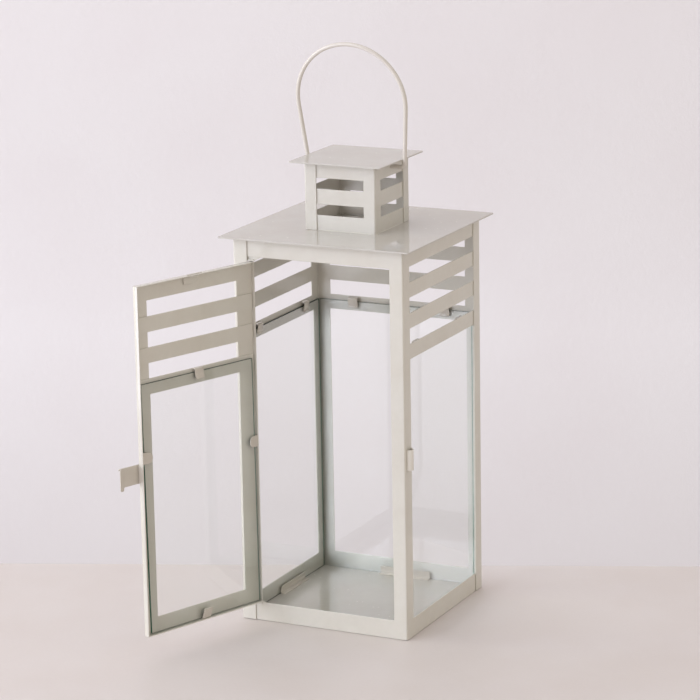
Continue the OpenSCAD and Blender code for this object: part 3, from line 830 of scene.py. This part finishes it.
# %% [markdown]
# ## The latch
#
# The latch is one strip on the free edge of the door. It lies on the door's face, runs past
# the edge, and ends in a small tooth that points down. With the door shut, the tooth stands
# a few millimetres in front of the keeper. The tooth could be cut with a Boolean. Since a
# strip's two sides may wander, it is simply a place where the lower side dips by a smooth
# step, and a quarter circle rounds the tip.

# %% Latch plate
LATCH_FACE = -70.75
LATCH_START, LATCH_TIP = 49.6, 75.8
LATCH_LOW, LATCH_TOP, TOOTH_LOW = 133.7, 148.4, 130.8
TOOTH_START, TOOTH_EASE = 72.2, 0.9
TIP_ROUND = 1.3
LATCH_SHEET = 0.7

latch_x = np.concatenate(
    [np.linspace(LATCH_START, 71.6, 12), np.linspace(71.9, 75.4, 15), np.linspace(75.5, LATCH_TIP, 4)]
)
tooth = np.clip((latch_x - TOOTH_START) / TOOTH_EASE, 0, 1)
tooth = tooth * tooth * (3 - 2 * tooth)
near_tip = np.clip((latch_x - (LATCH_TIP - TIP_ROUND)) / TIP_ROUND, 0, 1)
tip_round = TIP_ROUND * (1 - np.sqrt(1 - near_tip**2))
latch_low = LATCH_LOW + (TOOTH_LOW - LATCH_LOW) * tooth + tip_round
latch_high = LATCH_TOP - 0.5 * tip_round
latch_line = np.stack([latch_x, np.zeros_like(latch_x)], 1)
plate_rings = stand(strip(latch_line, latch_low, latch_high, LATCH_SHEET), (0, LATCH_FACE, 0), X, Y, Z)
print("the latch runs from", LATCH_START, "to", LATCH_TIP, "mm")

# %% [markdown]
# ## The finger lip and the leg
#
# A short lip is curled out along the top of the latch's tip, where a finger can push it. A
# thin leg is folded back along the flange and is narrower as it goes in. Whether the real
# latch has such a leg isn't certain: the plate's shadow on the flange would look much the
# same. Both are strips of their own in the mesh of the plate, since they move with it.

# %% Finger lip and leg
FINGER_CORNERS = [(0.0, -1.6), (0.0, 0.0), (1.3, 0.0), (2.0, -1.5)]
FINGER_BENDS = [0.5, 0.7]
FINGER_START = 69.4
LEG_DEPTH, LEG_SHEET = 5.0, 0.34
LEG_FACE = 58.7

finger_rings = strip(bent_line(FINGER_CORNERS, FINGER_BENDS), FINGER_START, LATCH_TIP - 0.2, 0.6)
finger_rings = stand(finger_rings, (0, LATCH_FACE, LATCH_TOP - 0.35), (0, -1, 0), Z, X)
leg_depth = np.linspace(0.1, LEG_DEPTH, 9)
leg_low = LATCH_LOW + 0.3 + 2.2 * (leg_depth / LEG_DEPTH)
leg_high = LATCH_TOP - 0.3 - 3.1 * (leg_depth / LEG_DEPTH)
leg_rings = strip(np.stack([np.zeros(9), leg_depth], 1), leg_low, leg_high, LEG_SHEET, edge=0.08)
leg_rings = stand(leg_rings, (LEG_FACE, -70.45, 0), X, Y, Z)
latch_parts = [hung(rings) for rings in (plate_rings, finger_rings, leg_rings)]
skin("latch_strip", latch_parts, fitting_enamel, "door", ["latch_plate"])

# %% [markdown]
# ## The keeper
#
# The keeper is a half round loop on the side of the body, bent round a rod, with a short
# foot against the wall. A piece of tube cut in half would have no foot, so it is one more
# strip: a straight foot first, and then an arc.

# %% Keeper
KEEPER_LOW, KEEPER_TOP = 132.6, 148.6
KEEPER_SHEET = 0.55
KEEPER_MIDDLE = (70.05, -63.5)
KEEPER_REACH = (3.38, 3.42)
KEEPER_FOOT = [(70.32, -58.4), (70.32, -59.4), (70.36, -59.8)]

swing = np.linspace(math.radians(82), math.radians(-90), 22)
loop_line = np.stack([np.cos(swing), np.sin(swing)], 1) * KEEPER_REACH + KEEPER_MIDDLE
keeper_view = np.concatenate([KEEPER_FOOT, loop_line])
keeper_rings = stand(strip(keeper_view, KEEPER_LOW, KEEPER_TOP, KEEPER_SHEET), (0, 0, 0), X, Y, Z)
skin("keeper_loop", [keeper_rings], keeper_painted_light_enamel, "body", ["latch_keeper"])

# %% [markdown]
# ## The door's pane
#
# A pane that is cut by hand is rarely a true rectangle. This one is made a little narrower
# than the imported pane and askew, so its green edge comes into view beside the flange low
# down and hides behind it higher up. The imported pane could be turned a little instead, but
# then its foot would be turned too. So it is replaced by a strip of glass with a level foot,
# whose two sides lean by about half a degree.

# %% Door pane
PANE_THICKNESS, PANE_ROUND, PANE_CREASE = 1.92, 0.2, 20.0
DOOR_PANE_FOOT = 16.45
HINGE_EDGE, HINGE_LEAN = -53.2, 1.8
FREE_EDGE, FREE_LEAN = 56.2, 2.5

pane_z = np.array([DOOR_PANE_FOOT, 60.0, 110.0, 160.0, DOOR_PANE_TOP])
lean = (DOOR_PANE_TOP - pane_z) / (DOOR_PANE_TOP - DOOR_PANE_FOOT)
door_pane_line = np.stack([np.zeros(5), pane_z], 1)
door_pane_sides = HINGE_EDGE - HINGE_LEAN * lean, FREE_EDGE - FREE_LEAN * lean
door_pane = strip(door_pane_line, *door_pane_sides, PANE_THICKNESS, edge=PANE_ROUND)
door_pane = hung(stand(door_pane, (0, DOOR_SLAT_FACE + 1.0, 0), Y, Z, X))
skin("door_window_glass", [door_pane], door_glass, "door", ["door_glass"], PANE_CREASE)

# %% [markdown]
# ## The right pane
#
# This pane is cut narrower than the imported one, by about nine millimetres, and only at the
# back. Its ground back edge then lies just inside the window and shows as a thin dark line
# down the rear post. A dark strip on the post would draw that line too, but would look
# wrong from other sides. The pane's other edges lie a few hundredths of a millimetre inside
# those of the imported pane, which the frame hands over as a box.

# %% Right pane
RIGHT_PANE_BACK = 58.2
right_lo, right_hi = (np.array(corner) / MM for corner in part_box("glass_right"))
right_line = [(0.0, right_lo[2] + 0.05), (0.0, 110.0), (0.0, right_hi[2] - 0.04)]
right_pane = strip(right_line, right_lo[1] + 0.04, RIGHT_PANE_BACK, PANE_THICKNESS, edge=PANE_ROUND)
right_pane = stand(right_pane, ((right_lo[0] + right_hi[0]) / 2, 0, 0), X, Z, Y)
skin("right_window_glass", [right_pane], side_glass, "body", ["glass_right"], PANE_CREASE)

# %% [markdown]
# ## The bead at the chimney's foot
#
# Where the chimney stands on the roof, wet enamel draws together along the joint and bakes
# into a thin uneven bead that catches the light. A bump on the roof couldn't stand against
# the chimney's wall, so the bead is a tube of changing radius, carried along the front and
# the right side of the foot. Two waves that don't repeat together make it uneven.

# %% Chimney bead
BEAD_STEPS, BEAD_SIDES = 60, 8
BEAD_HEIGHT = 302.05
BEAD_CORNERS = [(-28.6, -29.3), (29.3, -29.3), (29.3, 28.2)]


def bead_rings(line, radii):
    """Rings round a line: the points are c + r (cos(a) n + sin(a) z), with a going round."""
    along_bead = np.gradient(line, axis=0)
    along_bead /= np.linalg.norm(along_bead, axis=1)[:, None]
    sideways = np.stack([along_bead[:, 1], -along_bead[:, 0], np.zeros(len(line))], axis=1)
    a = np.linspace(0, 2 * np.pi, BEAD_SIDES, endpoint=False)[None, :, None]
    ring = np.cos(a) * sideways[:, None, :] + np.sin(a) * np.array(Z, float)
    return line[:, None, :] + radii[:, None, None] * ring


foot = bent_line(BEAD_CORNERS, [1.0], 9)
foot_run = np.concatenate([[0.0], np.cumsum(np.linalg.norm(np.diff(foot, axis=0), axis=1))])
foot_run /= foot_run[-1]
t = np.linspace(0, 1, BEAD_STEPS)
bead_x, bead_y = (np.interp(t, foot_run, foot[:, k]) for k in (0, 1))
bead_line = np.stack([bead_x, bead_y, np.full(BEAD_STEPS, BEAD_HEIGHT)], 1)
bead_radii = 0.42 + 0.07 * np.sin(41 * t) + 0.05 * np.sin(97 * t + 1.0)
chimney_bead = bead_rings(bead_line, bead_radii)
skin("chimney_foot_bead", [chimney_bead], body_enamel, "body", crease=80.0)

# %% [markdown]
# ## The table and the wall
#
# The lantern stands near the back edge of a pale table, and a plastered wall runs behind it
# at some twenty degrees to the lantern. Both are part of the stage, not of the lantern. A
# curved backdrop would be simpler, but it would hide where the table ends. First come their
# finishes. The wall is see-through from behind, so that a camera can also go round the back.

# %% Stage finishes
TABLE_DRIFT, TABLE_GRAIN, TABLE_DEEP = 90 * MM, 2.5 * MM, 0.02 * MM
WALL_DRIFT, TROWEL_WIDTH, TROWEL_DEPTH = 160 * MM, 7 * MM, 0.35 * MM


def table_finish():
    """A pale satin table top with a little drift in its tone and a fine grain."""
    f = Finish("table_top")
    drift = f.cloud(TABLE_DRIFT, 3.0)
    grain = f.cloud(TABLE_GRAIN, 3.0, 0.6)
    tone = f.tint(drift.fade(0.3, 0.7), colour_of(222, 215, 213), colour_of(219, 211, 208))
    tone = f.shade(tone, grain.fade(0.2, 0.8, 0.99, 1.01))
    return f.end(f.principled(Base_Color=tone, Roughness=0.45, Normal=f.relief(grain, TABLE_DEEP)))


def plaster_finish():
    """Painted plaster with fine trowel marks, clear from behind."""
    f = Finish("wall_plaster")
    drift = f.cloud(WALL_DRIFT, 3.0)
    trowel = f.cloud(TROWEL_WIDTH, 4.0, 0.6)
    tone = f.tint(drift.fade(0.3, 0.7), colour_of(236, 232, 235), colour_of(234, 229, 232))
    front = f.principled(Base_Color=tone, Roughness=0.8, Normal=f.relief(trowel, TROWEL_DEPTH))
    back = f.add("ShaderNodeBsdfTransparent")
    return f.end(f.blend(f.add("ShaderNodeNewGeometry", out="Backfacing"), front, back))


print("finishes for a table and a wall")

# %% [markdown]
# ## Setting the stage
#
# Each of the two is a flat sheet with four corners, big enough to fill any view. The rim of
# thin sheet is never flat enough to touch a table all round, so the table lies a third of a
# millimetre lower, which leaves the fine dark line that such a foot has.

# %% Stage
RIM_GAP = 0.35 * MM
TABLE_EDGE_LEFT = Vector((-0.3145, -0.0250, -RIM_GAP))
TABLE_EDGE_RIGHT = Vector((0.2084, 0.1849, -RIM_GAP))
TABLE_REACH = 5.0
TABLE_DEPTH = 6.0
WALL_BEHIND = 0.8
WALL_FOOT = Vector((0.0, 0.0, -1.2))
WALL_TOP = Vector((0.0, 0.0, 3.0))


def flat_sheet(name, corners, material):
    """A four-cornered flat surface."""
    mesh = bpy.data.meshes.new(name)
    mesh.from_pydata([tuple(c) for c in corners], [], [(0, 1, 2, 3)])
    mesh.materials.append(material)
    sheet = bpy.data.objects.new(name, mesh)
    bpy.context.scene.collection.objects.link(sheet)


along = (TABLE_EDGE_RIGHT - TABLE_EDGE_LEFT).normalized() * TABLE_REACH
away = Vector((-along.y, along.x, 0.0)).normalized()
table_left, table_right = TABLE_EDGE_LEFT - along, TABLE_EDGE_RIGHT + along
near = away * TABLE_DEPTH
flat_sheet("table", (table_left - near, table_right - near, table_right, table_left), table_finish())
wall_left, wall_right = table_left + away * WALL_BEHIND, table_right + away * WALL_BEHIND
wall_corners = (
    wall_left + WALL_FOOT,
    wall_right + WALL_FOOT,
    wall_right + WALL_TOP,
    wall_left + WALL_TOP,
)
flat_sheet("wall", wall_corners, plaster_finish())
print("the wall runs", round(math.degrees(math.atan2(along.y, along.x)), 1), "degrees from the front")

# %% [markdown]
# ## The light
#
# The light of a bright room is built from four soft boxes. A big cool one stands low to the
# left of the camera like a window, a warmer one comes further round from the left, a weak
# one lifts the right side, and a weak one hangs overhead. Sun and spot lamps would be too
# hard: their shadows would cut the inside of the lantern into pieces. The room itself fills
# the rest: it is a warm World colour, as light that has bounced off pale walls is.

# %% Light
SOFT_BOXES = (
    ("key_box", (-2.4, -3.0, 0.9), 3.0, 129.0, (0.85, 0.9, 1.05)),
    ("left_box", (-3.4, -0.6, 1.2), 2.4, 47.0, (1.0, 0.975, 0.77)),
    ("right_box", (2.9, -0.9, 1.0), 2.4, 12.0, (1.0, 0.95, 0.78)),
    ("top_box", (0.2, -0.4, 3.2), 2.4, 11.0, (1.0, 1.0, 1.0)),
)
ROOM_TONE = (0.565, 0.525, 0.49, 1.0)


def soft_box(name, place, size, power, tone):
    """A square area light at a place that faces the lantern."""
    data = bpy.data.lights.new(name, "AREA")
    data.shape = "SQUARE"
    data.size = size
    data.energy = power
    data.color = tone
    box = bpy.data.objects.new(name, data)
    facing = (LANTERN_HEART - Vector(place)).to_track_quat("-Z", "Y")
    box.matrix_world = Matrix.Translation(place) @ facing.to_matrix().to_4x4()
    bpy.context.scene.collection.objects.link(box)


for soft_box_facts in SOFT_BOXES:
    soft_box(*soft_box_facts)
world = bpy.data.worlds.new("room")
world.use_nodes = True
bpy.context.scene.world = world
room = world.node_tree.nodes["Background"]
room.inputs["Color"].default_value = ROOM_TONE
room.inputs["Strength"].default_value = 1.0
bpy.context.scene.view_settings.view_transform = "Standard"
